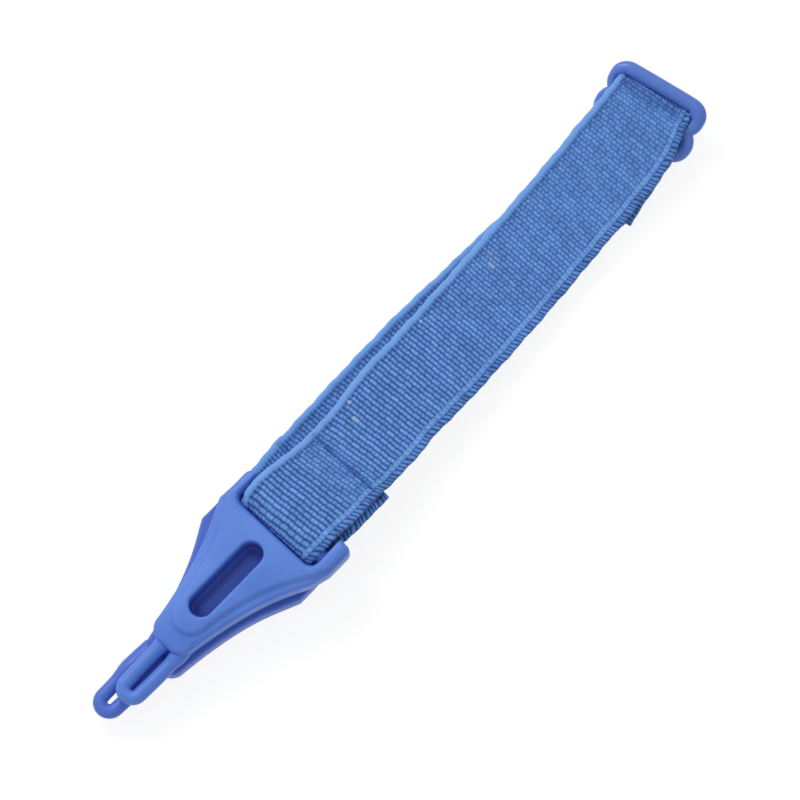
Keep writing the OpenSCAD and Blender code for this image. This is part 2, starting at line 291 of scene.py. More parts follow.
def smooth(x):
    x = np.clip(x, 0, 1)
    return x * x * (3 - 2 * x)


def stations(path, origin, yaw, width, shift):  # a path in a part's own XZ plane
    turn = math.radians(yaw)
    x, z = path[:, 0], path[:, 1]
    y = shift(x)
    wide = width(x) if callable(width) else np.full(len(x), width)
    return np.stack([origin[0] + x * math.cos(turn) - y * math.sin(turn),
                     origin[1] + x * math.sin(turn) + y * math.cos(turn),
                     origin[2] + z, np.full(len(x), yaw), wide], 1)


class Ribbon:  # a band: its middle line, its direction across and its width along its length
    # ribs, slants and crisp are tables of a mark, how far beyond it, and the number there
    def __init__(self, runs, ribs, dips, slants, crisp):
        rows, self.marks = [], {}
        for name, run in runs:
            self.marks[name] = sum(len(r) for r in rows)
            rows.append(run)
        self.marks["end"] = sum(len(r) for r in rows) - 1
        rows = np.vstack(rows)
        gap = np.linalg.norm(np.diff(rows[:, :3], axis=0), axis=1)
        along = np.concatenate([[0], np.cumsum(gap)])
        self.marks = {name: along[i] for name, i in self.marks.items()}
        keep = np.concatenate([[True], gap > 1e-4])
        self.u = np.arange(0, along[-1], 0.05)
        dense = np.stack([np.interp(self.u, along[keep], rows[keep][:, i]) for i in range(5)], 1)
        soft = np.hanning(9)[1:-1] / np.hanning(9)[1:-1].sum()
        for i in range(5):
            padded = np.pad(dense[:, i], 3, mode="reflect", reflect_type="odd")
            dense[:, i] = np.convolve(padded, soft, mode="valid")
        self.centre = dense[:, :3]
        yaw = np.radians(dense[:, 3])
        self.across = np.stack([-np.sin(yaw), np.cos(yaw), np.zeros(len(yaw))], 1)
        forward = np.gradient(self.centre, axis=0)
        up = np.cross(self.across, forward)
        self.up = up / np.linalg.norm(up, axis=1)[:, None]
        self.width = dense[:, 4]
        pitch, lean, self.crisp = (self.spread(table) for table in (ribs, slants, crisp))
        self.slant = np.tan(np.radians(lean)) / pitch  # rows that a rib is ahead, per mm across
        self.ribs = np.cumsum(0.05 / pitch)  # ribs counted from the start
        self.ribs -= self.ribs[0]
        self.dips = [(self.at(m) + d, depth, wide) for m, d, depth, wide in dips]

    def spread(self, table):
        return np.interp(self.u, [self.at(row[0]) + row[1] for row in table], [row[2] for row in table])

    def at(self, mark):
        return self.marks[mark] if isinstance(mark, str) else mark

    def ribAt(self, mark, more=0.0):  # the nearest groove between two ribs
        return int(round(float(np.interp(self.at(mark) + more, self.u, self.ribs))))

    def whereX(self, x, low, high):  # the length at which the middle line passes x
        inside = (self.u >= self.at(low)) & (self.u <= self.at(high))
        return float(self.u[inside][np.argmin(np.abs(self.centre[inside, 0] - x))])

    def point(self, u):
        return inRow([np.interp(u, self.u, self.centre[:, i]) for i in range(3)])


upperBandShape = {
    "sewn": 2.69, "wrapped": 1.57, "loop": 1.62,  # radius round the sewn loop and round two bars
    # x and z of the middle line: the tail from the sewn bar, the slack through the outer slot in radii of the
    # wrap, the run from the slider to the front tab, the two legs of the front loop from that tab's bar
    "tail": [(-3.6, 1.05), (-5.2, 0.74), (-7.6, 0.68), (-9.8, 0.25), (-13.2, -0.35)],
    "slack": [(0.5, -0.866), (1.146, -0.56), (1.62, -0.1), (1.7, 0.34), (1.45, 0.76), (1, 0.98), (0.5, 1.03),
              (0, 1)],
    "run": [(-5.6, 5.62), (-8.5, 4.6), (-12, 3.9), (-16.5, 3.4), (-22, 2.95), (-30.3, 2.8), (-38.4, 3.0),
            (-46.4, 3.55), (-54.5, 4.3), (-62.6, 5.2), (-68.7, 5.95), (-72.83, 6.7)],
    "upperLeg": [(14.2, -0.9), (10, -0.2), (6, 0.6), (3, 1.25), (0, 1.62)],
    "lowerLeg": [(0, -1.62), (3, -1.52), (6, -1.27), (9, -1.22), (11.5, -1.61), (13.85, -2)],
    # x, width and shift to one side along the run
    "spread": [(-80, 14.2, -0.05), (-72.83, 14.2, -0.05), (-68.7, 14.6, 0.1), (-62.6, 15.0, 0.05),
               (-54.5, 15.25, -0.27), (-46, 15.4, -0.32), (-30, 15.5, -0.3), (-22, 15.4, -0.25),
               (-16, 15.5, -0.35), (-8.5, 15.5, -0.31), (-5.6, 15.2, -0.25), (-2.5, 14.1, 0.05),
               (0, 13.5, 0.3), (2, 13.5, 0.3)],
    # x, left edge and right edge along each leg
    "upperLegEdges": [(0, 7.3, -7.45), (2.8, 7.5, -7.35), (4.7, 7.4, -7.3), (8, 6.98, -7.33),
                      (10, 6.95, -7.15), (12.5, 7.0, -7.0), (14.2, 7.05, -7.15)],
    "lowerLegEdges": [(-1.8, 6.5, -7.25), (-0.9, 7.1, -7.4), (0, 7.3, -7.45), (3, 7.1, -7.75),
                      (4.6, 7.0, -8.3), (11, 7.0, -8.3), (14, 7.0, -8.1)],
    "inSlider": (13.6, 1.1), "inBend": (13.5, 0.3),  # widths at the middle bar, and how much they change
    "ribs": [("tail", 0, 0.66), ("run", 0, 0.69), ("run", 10, 0.67), ("run", 20, 0.66), ("run", 28, 0.69),
             ("run", 38, 0.67), ("run", 47, 0.73), ("run", 55, 0.775), ("run", 63.5, 0.79),
             ("front", -1, 0.82), ("front", 1.0, 0.66), ("front", 2.4, 0.64), ("front", 4.5, 0.7),
             ("front", 8, 0.84), ("front", 16, 0.84), ("end", 0, 0.66)],  # mm from one rib to the next
    "dips": [("run", -1.3, 0.02, 1.0), ("front", 1.65, 0.34, 0.34), ("end", -1.3, 0.25, 0.5)],  # depth, reach; the first, at the slider's bar, darkens the band where it bends down, painted shade; the others are where stitches pull the cloth down
    "slants": [("tail", 0, -5), ("run", 0, -5), ("run", 15, -3.5), ("run", 30, -4), ("run", 40, -3.2),
               ("run", 48, -1.6), ("run", 56, -2), ("run", 63, 0.2), ("front", -4, 4), ("front", 0, 6.5),
               ("front", 6, 5.5), ("front", 14, 4), ("end", 0, 0)],  # degrees that the ribs lean
    "crisp": [("tail", 0, 0.6), ("run", 0, 0.52), ("run", 12, 0.55), ("run", 20, 0.6), ("run", 30, 0.72),
              ("run", 38, 0.74), ("run", 47, 0.9), ("run", 56, 1.0), ("front", -1, 1.05), ("front", 2, 0.66),
              ("front", 5, 0.74), ("front", 8, 1.1), ("end", 0, 1.0)],  # how clearly the ribs stand out
    "neckEnd": -20.0,  # x where the neck that bends at the slider ends
    "tailKept": 0.26, "tailRise": 11.5,  # length left of the tail when it is drawn up, and the slope it takes
}


def legEdges(table):  # width and shift along a leg
    x, left, right = np.array(table).T

    def width(at):
        return np.interp(at, x, left - right)

    def shift(at):
        return np.interp(at, x, (left + right) / 2)

    return width, shift


def makeUpperBand():
    shape, sewn, mid = upperBandShape, layout["sewnBar"], layout["middleBar"]
    slider, yaw, frontBar, frontYaw = (layout[k] for k in ("slider", "sliderYaw", "frontBar", "frontYaw"))
    wrapped, loop = shape["wrapped"], shape["loop"]
    knots = [tuple(arcPath(sewn, shape["sewn"], 120, 120, 1)[0])]
    knots += [(sewn[0] + x, sewn[1] + z) for x, z in shape["tail"]]
    tail = np.vstack([curvePath(knots)[::-1], arcPath(sewn, shape["sewn"], 120, 30, 24)])
    turned = curvePath(np.array(shape["slack"]) * wrapped + np.array(mid))
    wrap = np.vstack([arcPath(mid, wrapped, -150, -60, 24)[:-1], turned[:17]])
    bend = turned[16:]
    top = mid[1] + wrapped
    run = curvePath([(0, top), (-2.6, top + 0.16)] + shape["run"])
    x = run[:, 0]
    leave, arrive = smooth(-x / 10), smooth((-60 - x) / 12.83)  # turning from the slider's line to the tab's
    sliderLine = slider[1] + x * math.tan(math.radians(yaw))
    frontLine = frontBar[1] + (x - frontBar[0]) * math.tan(math.radians(frontYaw))
    spread = np.array(shape["spread"])
    y = sliderLine * (1 - leave) + frontLine * arrive + np.interp(x, spread[:, 0], spread[:, 2])
    wide = np.interp(x, spread[:, 0], spread[:, 1])
    runRows = np.stack([x, y, run[:, 1], yaw * (1 - leave) + frontYaw * arrive, wide], 1)

    upperLeg = curvePath(shape["upperLeg"])
    aroundBar = arcPath((0, 0), loop, 90, 270, 36) * [1.1, 1.0]  # a little slack beyond the bar
    lowerLeg = np.vstack([aroundBar, curvePath(shape["lowerLeg"])])
    frontRows = np.vstack([stations(leg, frontBar, frontYaw, *legEdges(shape[edges]))
                           for leg, edges in ((upperLeg, "upperLegEdges"), (lowerLeg, "lowerLegEdges"))])

    def tailWidth(x):
        return shape["inSlider"][0] + shape["inSlider"][1] * smooth((-5 - x) / 6)

    def tailShift(x):
        return 0.2 * smooth((x + 11) / 6)

    def bendWidth(x):
        return shape["inBend"][0] - shape["inBend"][1] * smooth(x / 2)

    def bendShift(x):
        return 0.2 + 0.15 * smooth(x / 2)

    return Ribbon([("tail", stations(tail, slider, yaw, tailWidth, tailShift)),
                   ("wrap", stations(wrap, slider, yaw, shape["inSlider"][0], tailShift)),
                   ("bend", stations(bend, slider, yaw, bendWidth, bendShift)),
                   ("run", runRows), ("front", frontRows)],
                  shape["ribs"], shape["dips"], shape["slants"], shape["crisp"])


lowerBandShape = {
    "wrapped": 1.57, "loop": 1.62,  # radius round the slider's bar and round the tab's
    "height": 0.5,  # middle of the run above the ground
    # x and z of the middle line, from the sewn bar and from the tab's bar
    "hiddenLeg": [(-2.8, 0.2), (-4.2, -0.35), (-5.5, -0.45), (-8, -0.45)],
    "legWidth": 13.8, "legShift": 0.1,
    "ends": ((-75.571, 3.152), (-11.924, -0.953)),  # x and y of the run's ends
    "bow": 0.8, "aside": 0.43,  # how far the run bows to one side, and stands off near the tab
    "tabLeg": [(0, 1.62), (2.5, 1.35), (5, 0.35), (7.2, -0.3), (9.5, -0.5), (13.85, -0.5)],
    "ribs": [("leg", 0, 0.62), ("run", 0, 0.68), ("rear", 0, 0.72), ("end", 0, 0.64)],
    "dips": [("leg", 1.3, 0.25, 0.5), ("rear", 1.65, 0.25, 0.5), ("end", -1.3, 0.25, 0.5)],
    "slants": [("leg", 0, -4), ("run", 40, -3), ("rear", 0, 4), ("end", 0, 4)],
    "crisp": [("leg", 0, 0.6), ("run", 30, 0.8), ("end", 0, 1.0)],
    "loopEnd": 7.5,  # how far beyond the slider the sewn loop's piece reaches
}


def makeLowerBand():
    shape, sewn, yaw, slider = lowerBandShape, layout["sewnBar"], layout["sliderYaw"], layout["slider"]
    width, neck = bandSize["width"], bandSize["neckWidth"]
    sewnOrigin = (slider[0] + sewn[0] * math.cos(math.radians(yaw)),
                  slider[1] + sewn[0] * math.sin(math.radians(yaw)), sewn[1])
    around = arcPath((0, 0), shape["wrapped"], 120, -90, 40)
    sewnLeg = np.vstack([curvePath([tuple(around[0])] + shape["hiddenLeg"])[::-1], around])
    x = np.linspace(sewnOrigin[0] - 0.3, -75.0, 160)
    (farX, farY), (nearX, nearY) = shape["ends"]
    t = (x - farX) / (nearX - farX)
    bowed = farY + (nearY - farY) * t + 4 * shape["bow"] * t * (1 - t)
    line = slider[1] + x * math.tan(math.radians(yaw))
    leave, arrive = smooth((-10 - x) / 7), smooth((-66 - x) / 9)
    y = line * (1 - leave) + bowed * leave + shape["aside"] * smooth((-37 - x) / 15)
    wide = width - (width - neck) * np.clip(3 * t - 2, 0, 1)
    turned = yaw * (1 - leave) + layout["rearYaw"] * arrive
    runRows = np.stack([x, y, np.full(len(x), shape["height"]), turned, wide], 1)

    def legShift(x):
        return np.full(len(x), shape["legShift"])

    def shear(x):  # the legs run off to one side of the bar
        return 2.05 * smooth((x - 1.8) / 5.2) + 0.2 * smooth((x - 10) / 4.2)

    def atBar(x):
        return width - 0.6 * smooth((10 - x) / 8)

    flat = np.stack([np.linspace(14.2, 0.2, 40), np.full(40, -shape["loop"])], 1)
    rearLoop = np.vstack([flat, arcPath((0, 0), shape["loop"], -90, -270, 36), curvePath(shape["tabLeg"])])
    return Ribbon([("leg", stations(sewnLeg, sewnOrigin, yaw, shape["legWidth"], legShift)), ("run", runRows),
                   ("rear", stations(rearLoop, layout["rearBar"], layout["rearYaw"], atBar, shear))],
                  shape["ribs"], shape["dips"], shape["slants"], shape["crisp"])


def chance(a, b, seed):  # a steady number from 0 to 1 for each pair
    x = np.sin(a * 12.9898 + b * 78.233 + seed * 37.719) * 43758.5453
    return x - np.floor(x)


def sawRidge(phase, sharp):
    return 1 - np.abs(2 * (phase - np.floor(phase)) - 1) ** sharp


# the height of the weave from 0 to 1, with what the finish needs: rib is counted in rows, q in mm across a
# full-width band from its middle, the looped edge at -7.5 and the rolled one at 7.5
def weave(rib, q, slant, crisp, seed):
    size = bandSize
    rib = rib - slant * q + 0.045 * np.sin(q * 1.1 + rib * 0.21) + 0.035 * np.sin(q * 3.1 + rib * 0.5)
    row = np.floor(rib)
    short = row % 2  # rows of long floats and rows of short ones take turns
    brick = q / (2 * size["wale"]) + 0.5 * short + 0.12 * (chance(row, 7.0, seed) - 0.5)
    column = np.floor(brick)
    off = np.abs(2 * (brick - column) - 1)  # 0 in the middle of a float, 1 between two
    luck = chance(row, column, seed)
    longFloat = 0.56 + 0.44 * (1 - smooth((off - 0.44 - 0.2 * luck) / 0.32))
    dip = np.abs(2 * np.mod(2 * brick + 0.5, 1) - 1)
    longFloat = longFloat * (1 - 0.24 * np.exp(-(off / 0.2) ** 2))
    twin = np.where(off < 0.5, 0.35, 0.26)  # two short floats to a brick, one lower than the other
    shortFloat = 0.61 + (1 - smooth((dip - 0.36) / 0.4)) * twin * (0.8 + 0.3 * luck)
    rows = crisp * sawRidge(rib, 2.2) + (1 - crisp) * 0.7
    crest = rows * np.where(short > 0, shortFloat, longFloat) * (0.92 + 0.12 * luck)
    pale = (chance(row, column, seed + 5) > 0.987) & (short < 1)
    fleck = np.where(pale, rows * longFloat, 0.0) * (0.25 + 0.5 * luck)
    edge = q + size["width"] / 2  # distance from the looped edge
    uneven = rib + 0.16 * np.sin(rib * 1.7 + seed) + 0.1 * np.sin(rib * 0.63)
    lump = chance(np.floor(uneven), 3.0, seed + 2)
    outer = sawRidge(uneven - 0.55 * edge, 1.7) * (0.55 + 0.4 * lump)
    chain = (0.5 + 0.5 * sawRidge(uneven - 0.2 * edge, 1.8)) * (0.86 + 0.24 * lump)
    crest = np.where(edge < size["loops"], outer, np.where(edge < size["chain"], chain, crest))
    for place, depth in ((size["loops"], 0.34), (size["chain"], 0.2)):
        crest = crest * (1 - depth * np.exp(-((edge - place) / 0.14) ** 2))
    rolled = smooth((q - size["rolled"]) / 0.55)
    lip = 0.9 + 0.05 * np.cos(2 * np.pi * rib)
    crest = crest * (1 - rolled) + lip * rolled
    crest = crest * (1 - 0.4 * np.exp(-((q - size["valley"]) / 0.24) ** 2))
    fleck = np.where((edge < size["chain"]) | (q > size["valley"]), 0.0, fleck)
    luck = np.where(q > 6.4, 0.6, luck)
    return crest, luck, fleck, rolled


def bandSection(fine):  # samples round the band: q, and how far each faces sideways and up
    step, flat = bandSize["wale"] / (6 if fine else 4), bandSize["flat"]
    count = int((flat - 0.1) / step)
    top = np.arange(count, -count - 1, -1) * step
    under = np.arange(-count, count + 1)[::(2 if fine else 1)] * step
    turn = np.radians(np.linspace(-90, 90, 11))
    back = turn[::-1]
    q = np.concatenate([flat + 0.5 * np.cos(turn), top, -flat - 0.5 * np.cos(back), under])
    upward = np.concatenate([np.sin(turn), np.ones(len(top)), np.sin(back), -np.ones(len(under))])
    sideways = np.concatenate([np.cos(turn), np.zeros(len(top)), -np.cos(back), np.zeros(len(under))])
    return q, sideways, upward


def weaveBand(name, ribbon, start, end, perRib=6, fine=True, seed=1):  # from one rib of the ribbon to another
    q, sideways, upward = bandSection(fine)
    flat = bandSize["flat"]
    rows, columns = (end - start) * perRib, len(q)
    bm = bmesh.new()
    bmesh.ops.create_grid(bm, x_segments=rows, y_segments=columns, size=1)
    mesh = bpy.data.meshes.new(name)
    bm.to_mesh(mesh)
    bm.free()
    co = np.zeros(len(mesh.vertices) * 3)
    mesh.vertices.foreach_get("co", co)
    co = co.reshape(-1, 3)
    i = np.rint((co[:, 0] + 1) / 2 * rows).astype(int)
    j = np.rint((co[:, 1] + 1) / 2 * columns).astype(int) % columns
    rib = start + i / perRib
    u = np.interp(rib, ribbon.ribs, ribbon.u)
    qs, side, top = q[j], sideways[j], upward[j]
    slant, crisp = (np.interp(u, ribbon.u, numbers) for numbers in (ribbon.slant, ribbon.crisp))
    crest, luck, fleck, rolled = weave(rib, qs, slant, crisp, seed)
    width = np.interp(u, ribbon.u, ribbon.width)
    half, radius = width / 2, bandSize["thickness"] / 2
    inner = half - radius
    y = np.where(np.abs(qs) > flat, np.sign(qs) * inner + side * radius, qs / flat * inner)
    wavy = 0.05 * np.sin(u * 0.9 + seed) + 0.04 * np.sin(u * 2.3 + 2 * seed)
    y = y + np.sign(qs) * wavy * smooth((np.abs(qs) - 4) / 3)  # edges that aren't quite straight
    relief = np.where(qs < -5.5, bandSize["edgeRelief"], bandSize["relief"])
    sink = relief * (1 - crest)
    for place, depth, wide in ribbon.dips:  # where stitches pull the cloth down, and where the upper band bends at the slider's bar; each dip also darkens the cloth, painted shade
        dip = np.exp(-((u - place) / wide) ** 2) * smooth((7.1 - np.abs(qs)) / 0.7)
        dip = dip * (0.35 + 0.65 * np.abs(np.sin(np.pi * (qs + 0.4) / layout["stitch"])) ** 0.7)
        sink = sink + depth * dip
        crest = crest * (1 - 0.4 * dip)
    bead = bandSize["bead"] * smooth((qs - bandSize["rolled"] - 0.05) / 0.4)
    lift = top * (radius + bead * np.clip(top, 0, 1) - np.abs(top) * sink)
    y = y - side * sink * 0.4
    spot = [np.interp(u, ribbon.u, ribbon.centre[:, k]) + np.interp(u, ribbon.u, ribbon.across[:, k]) * y
            + np.interp(u, ribbon.u, ribbon.up[:, k]) * lift for k in range(3)]
    spot[0] -= layout["middle"][0]  # to the row frame
    spot[1] -= layout["middle"][1]
    mesh.vertices.foreach_set("co", (np.stack(spot, 1) * mm).astype(np.float32).ravel())
    for attribute, numbers in (("crest", crest), ("luck", luck), ("fleck", fleck), ("rolled", rolled)):
        mesh.attributes.new(attribute, "FLOAT", "POINT").data.foreach_set("value", numbers.astype(np.float32))
    place = np.stack([u, qs, top * 0.5], 1).astype(np.float32)
    mesh.attributes.new("yarnPlace", "FLOAT_VECTOR", "POINT").data.foreach_set("vector", place.ravel())
    bm = bmesh.new()
    bm.from_mesh(mesh)
    bmesh.ops.remove_doubles(bm, verts=[v for v in bm.verts if v.is_boundary], dist=1e-7)
    rim = [e for e in bm.edges if e.is_boundary]
    caps = bmesh.ops.holes_fill(bm, edges=rim, sides=0)["faces"]
    for face in bm.faces:
        face.smooth = True
    for face in caps:
        face.smooth = False
        for edge in face.edges:
            edge.smooth = False
    bmesh.ops.recalc_face_normals(bm, faces=bm.faces[:])
    bpy.data.meshes.remove(mesh)
    return finished(bm, name, wovenBand)


upper = makeUpperBand()
lower = makeLowerBand()
print("ribbons laid out")

ribWrap = upper.ribAt("wrap")
ribBend, ribNeck = upper.ribAt("bend"), upper.ribAt("run", 1.2)
neckEnd = upper.whereX(upperBandShape["neckEnd"], "run", "front")
ribRun, ribFront, ribEnd = upper.ribAt(neckEnd), upper.ribAt("front"), upper.ribAt("end")

tailPiece = weaveBand("upperBandTail", upper, 0, ribWrap, fine=False)
wrapPiece = weaveBand("upperBandWrap", upper, ribWrap, ribBend, fine=False)
bendPiece = weaveBand("upperBandBend", upper, ribBend, ribNeck)
neckPiece = weaveBand("upperBandNeck", upper, ribNeck, ribRun)
runPiece = weaveBand("upperBandRun", upper, ribRun, ribFront)
frontLoopPiece = weaveBand("upperBandLoop", upper, ribFront, ribEnd)

tuple(upper.point(upper.at("wrap")))
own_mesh(tailPiece)
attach(tailPiece, "slider_body")
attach(wrapPiece, "slider_body")
tuple(upper.point(upper.at("bend")))
tuple(upper.point(upper.at("run")))
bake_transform(bendPiece)
tuple(upper.point(upper.at("run") + 1.4))
tuple(upper.point(neckEnd - 0.5))
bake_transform(neckPiece)
tuple(upper.point(neckEnd + 0.5))
tuple(upper.point(upper.at("front") - 0.5))
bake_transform(runPiece)
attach(frontLoopPiece, "front_loop")
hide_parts("top_tail")
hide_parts("top_wrap")
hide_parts("top_throat")
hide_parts("top_run")
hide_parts("front_bar_loop")

ribRun, ribRear = lower.ribAt("run", lowerBandShape["loopEnd"]), lower.ribAt("rear")
sliderLoopPiece = weaveBand("lowerBandSliderLoop", lower, 0, ribRun, fine=False, perRib=5, seed=3)
lowerRunPiece = weaveBand("lowerBandRun", lower, ribRun, ribRear, fine=False, perRib=5, seed=3)
rearLoopPiece = weaveBand("lowerBandRearLoop", lower, ribRear, lower.ribAt("end"), fine=False, seed=3)
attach(sliderLoopPiece, "lower_band")
tuple(lower.point(lower.at("run") + 8))
tuple(lower.point(lower.at("rear") - 0.5))
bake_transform(lowerRunPiece)
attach(rearLoopPiece, "rear_loop")
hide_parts("slider_bar_loop")
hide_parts("lower_run")
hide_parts("rear_bar_loop")
print("bands woven")


def rodAlong(bm, points, radii, sides=16, closed=False, upright=None):  # a ring carried along a line
    points = [Vector(p) for p in points]
    count = len(points)
    rings = []
    for i, p in enumerate(points):
        before = points[i - 1] if (i or closed) else p
        after = points[(i + 1) % count] if (i < count - 1 or closed) else p
        ahead = (after - before).normalized()
        side = (upright or Vector((0, 0, 1))).cross(ahead).normalized()
        up = ahead.cross(side)
        frameAt = Matrix((side, up, ahead)).transposed().to_4x4()
        frameAt.translation = p
        ring = bmesh.ops.create_circle(bm, segments=sides, radius=1.0)["verts"]
        wide, high = radii[i] if hasattr(radii[i], "__len__") else (radii[i], radii[i])
        bmesh.ops.scale(bm, vec=(wide, high, 1), verts=ring)
        bmesh.ops.transform(bm, matrix=frameAt, verts=ring)
        rings.append(ring)
    ringEdges = [list(dict.fromkeys(e for v in ring for e in v.link_edges)) for ring in rings]
    for a, b in zip(range(count - 1), range(1, count)):
        bmesh.ops.bridge_loops(bm, edges=ringEdges[a] + ringEdges[b])
    if closed:
        bmesh.ops.bridge_loops(bm, edges=ringEdges[-1] + ringEdges[0])
    else:
        for ring in (rings[0], rings[-1]):
            bmesh.ops.contextual_create(bm, geom=ring)
    return rings


seamSize = {
    "thread": 0.3, "count": 7,
    "fromTabBar": 12.55, "rearAside": 1.53, "fromSewnBar": 6.7,
    "front": (-2.29, -0.2), "rear": (-2.12, 0.0), "slider": (0.0, 2.12),  # lower and upper face of the legs
}


def sewSeam(name, place, faces, body, node):  # stitches on both faces of the sewn legs
    low, high = faces
    bm = bmesh.new()
    r, stitch = seamSize["thread"] / 2, layout["stitch"]
    half = seamSize["count"] * stitch / 2
    for k in range(seamSize["count"]):
        y0 = -half + k * stitch
        lean = 0.12 * math.sin(k * 2.4 + low)
        for face, sign in ((high, 1), (low, -1)):
            line, radii = [], []
            for t in np.linspace(0, 1, 9):
                sag = (2 * t - 1) ** 4 * 0.3  # the ends dive into the cloth
                line.append((lean * (t - 0.5), y0 + t * stitch, face - sign * (r - 0.02 + sag)))
                radii.append(r * (0.75 + 0.35 * math.sin(math.pi * t)))
            rodAlong(bm, line, radii, sides=8, upright=Vector((1, 0, 0)))
    bmesh.ops.transform(bm, matrix=place, verts=bm.verts[:])
    bmesh.ops.recalc_face_normals(bm, faces=bm.faces[:])
    for face in bm.faces:
        face.smooth = True
    piece = finished(bm, name, sewingThread)
    verts = len(piece.data.vertices)
    for attribute, number in (("crest", 0.75), ("luck", 0.5), ("fleck", 0.0), ("rolled", 0.0)):
        data = piece.data.attributes.new(attribute, "FLOAT", "POINT").data
        data.foreach_set("value", np.full(verts, number, np.float32))
    co = np.zeros(verts * 3, np.float32)
    piece.data.vertices.foreach_get("co", co)
    piece.data.attributes.new("yarnPlace", "FLOAT_VECTOR", "POINT").data.foreach_set("vector", co / mm)
    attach(piece, body)
    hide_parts(node)


def seamPlace(origin, yaw, along, aside=0.0):
    return placing(origin, yaw) @ Matrix.Translation((along, aside, 0))


fromSlider = layout["sewnBar"][0] - seamSize["fromSewnBar"]
frontSeamPlace = seamPlace(layout["frontBar"], layout["frontYaw"], seamSize["fromTabBar"])
rearSeamPlace = seamPlace(layout["rearBar"], layout["rearYaw"], seamSize["fromTabBar"], seamSize["rearAside"])
sliderSeamPlace = seamPlace(layout["slider"], layout["sliderYaw"], fromSlider)
sewSeam("frontSeam", frontSeamPlace, seamSize["front"], "front_loop", "front_seam")
sewSeam("rearSeam", rearSeamPlace, seamSize["rear"], "rear_loop", "rear_seam")
sewSeam("sliderSeam", sliderSeamPlace, seamSize["slider"], "lower_band", "slider_seam")
print("seams sewn")


tabSize = {
    "width": 19.5, "height": 3.8, "barRadius": 1.0,
    "fork": 15.9, "slot": 2.45,  # between the ears, and how far the slot reaches behind the bar
    "nose": 7.0, "noseRadius": 2.4, "noseX": -22.6, "edge": 0.7,
    "rimDrop": 0.7, "riseNose": (-19.3, 2.98),  # the raised middle: its height and where its nose is
    "pocket": (13.9, 3.7, -12.0), "floor": 0.7,  # length, width, middle
    "rod": 1.08, "loopRadius": 1.37, "loopRoot": -23.0, "loopEnd": -32.45, "loopSide": -0.9, "loopBow": 0.12,
}
# each ear: where it ends, how far out it stands, its corner, how far it leans in on the band
frontTabShape = {
    "ears": ((2.6, 9.3, 1.3, 0.45), (3.75, 10.3, 1.3, 0.1)),
    "bend": 0.0, "further": 0.0,  # how far the loop is bent aside and drawn out
    "flare": (0.22, -26.3, 1.6),  # how much thicker the rod is at its root, from where, over what length
}
rearTabShape = {"ears": ((3.2, 9.75, 1.8, 0.0), (3.2, 9.45, 1.8, 0.0)), "bend": 4.0, "further": 0.55,
                "flare": (0.4, -30.5, 3.0)}


def bezier(a, b, c, d, count):
    t = np.linspace(0, 1, count)[:, None]
    a, b, c, d = (np.array(p, float) for p in (a, b, c, d))
    return (1 - t) ** 3 * a + 3 * t * (1 - t) ** 2 * b + 3 * t * t * (1 - t) * c + t ** 3 * d


def cornerArc(centre, radius, start, end, count):
    turn = np.radians(np.linspace(start, end, count))[:, None]
    return np.array(centre) + radius * np.hstack([np.cos(turn), np.sin(turn)])


def notchTo(end, hug):  # from the slot to the tip of an ear
    slot, clear = -tabSize["slot"], tabSize["fork"] / 2
    return np.vstack([[(slot, 2.0), (slot, 5.0)], cornerArc((slot + 1.3, clear - hug - 1.3), 1.3, 180, 90, 5),
                      [(-0.9, clear - hug), (0.6, clear - hug), (2.0, clear - 0.8 * hug)],
                      [(end - 0.25, clear - 0.6 * hug), (end - 0.04, clear + 0.24 - 0.6 * hug)]])


def outsideFrom(end, across, corner):  # from the tip of an ear round to the nose
    x, y, body = end - corner, across - corner, min(tabSize["width"] / 2, across + 0.3)
    nose, noseX, noseRadius = tabSize["nose"], tabSize["noseX"], tabSize["noseRadius"]
    return np.vstack([cornerArc((x, y), corner, 25, 90, 8), [(min(-1.2, x - 0.4), across - 0.02)],
                      bezier((-3.8, body - 0.15), (-7.2, tabSize["width"] / 2 - 1.65), (-10.2, 0.79 * nose),
                             (noseX, nose / 2), 26),
                      cornerArc((noseX, nose / 2 - noseRadius), noseRadius, 98, 180, 10)])


def raisedFrom(end, across, corner):  # the same for the raised middle
    x, y, body = end - corner, across - corner, min(tabSize["width"] / 2, across + 0.3)
    nose = tabSize["riseNose"]
    return np.vstack([cornerArc((x, y), corner - 0.5, 25, 90, 8), [(min(-0.9, x - 0.3), across - 0.55)],
                      bezier((-3, body - 0.65), (-7, 6.5), (-10.5, 4.3), nose, 26),
                      cornerArc((nose[0], 0), nose[1], 92, 176, 10)])


def bothHalves(pair):  # one outline from a left and a right half
    return np.vstack([pair[0], pair[1][::-1]])


def tabOutlines(ears):  # outer and raised outlines, point for point, and how far each point may move in
    sides, rises = [], []
    for side, (end, across, corner, hug) in zip((1, -1), ears):
        notch = notchTo(end, hug)
        riseNotch = notch + np.where(np.arange(len(notch))[:, None] < 4, [-0.1, 0], [-0.05, 0.1])
        riseNotch[-2:] += [-0.3, 0.0]
        outside, raised = outsideFrom(end, across, corner), raisedFrom(end, across, corner)
        sides.append(np.vstack([notch, outside]) * [1, side])
        rises.append(np.vstack([riseNotch, raised]) * [1, side])
    atEar = smooth((raised[:, 0] + 4) / 3)
    free = np.concatenate([np.full(len(notch), 0.25), 1 - 0.4 * atEar])
    inNotch = [0.9, 0.9, 0.9, 0.9, 0.9, 0.85, 0.75, 0.7, 0.55, 0.35, 0.2, 0.2]
    riseFree = np.concatenate([inNotch, 1 - 0.55 * atEar])
    foot = np.concatenate([np.full(len(notch), 0.2), 1 - 0.55 * atEar])
    shares = [np.concatenate([share, share[::-1]]) for share in (free, riseFree, foot)]
    return [bothHalves(sides), bothHalves(rises)] + shares


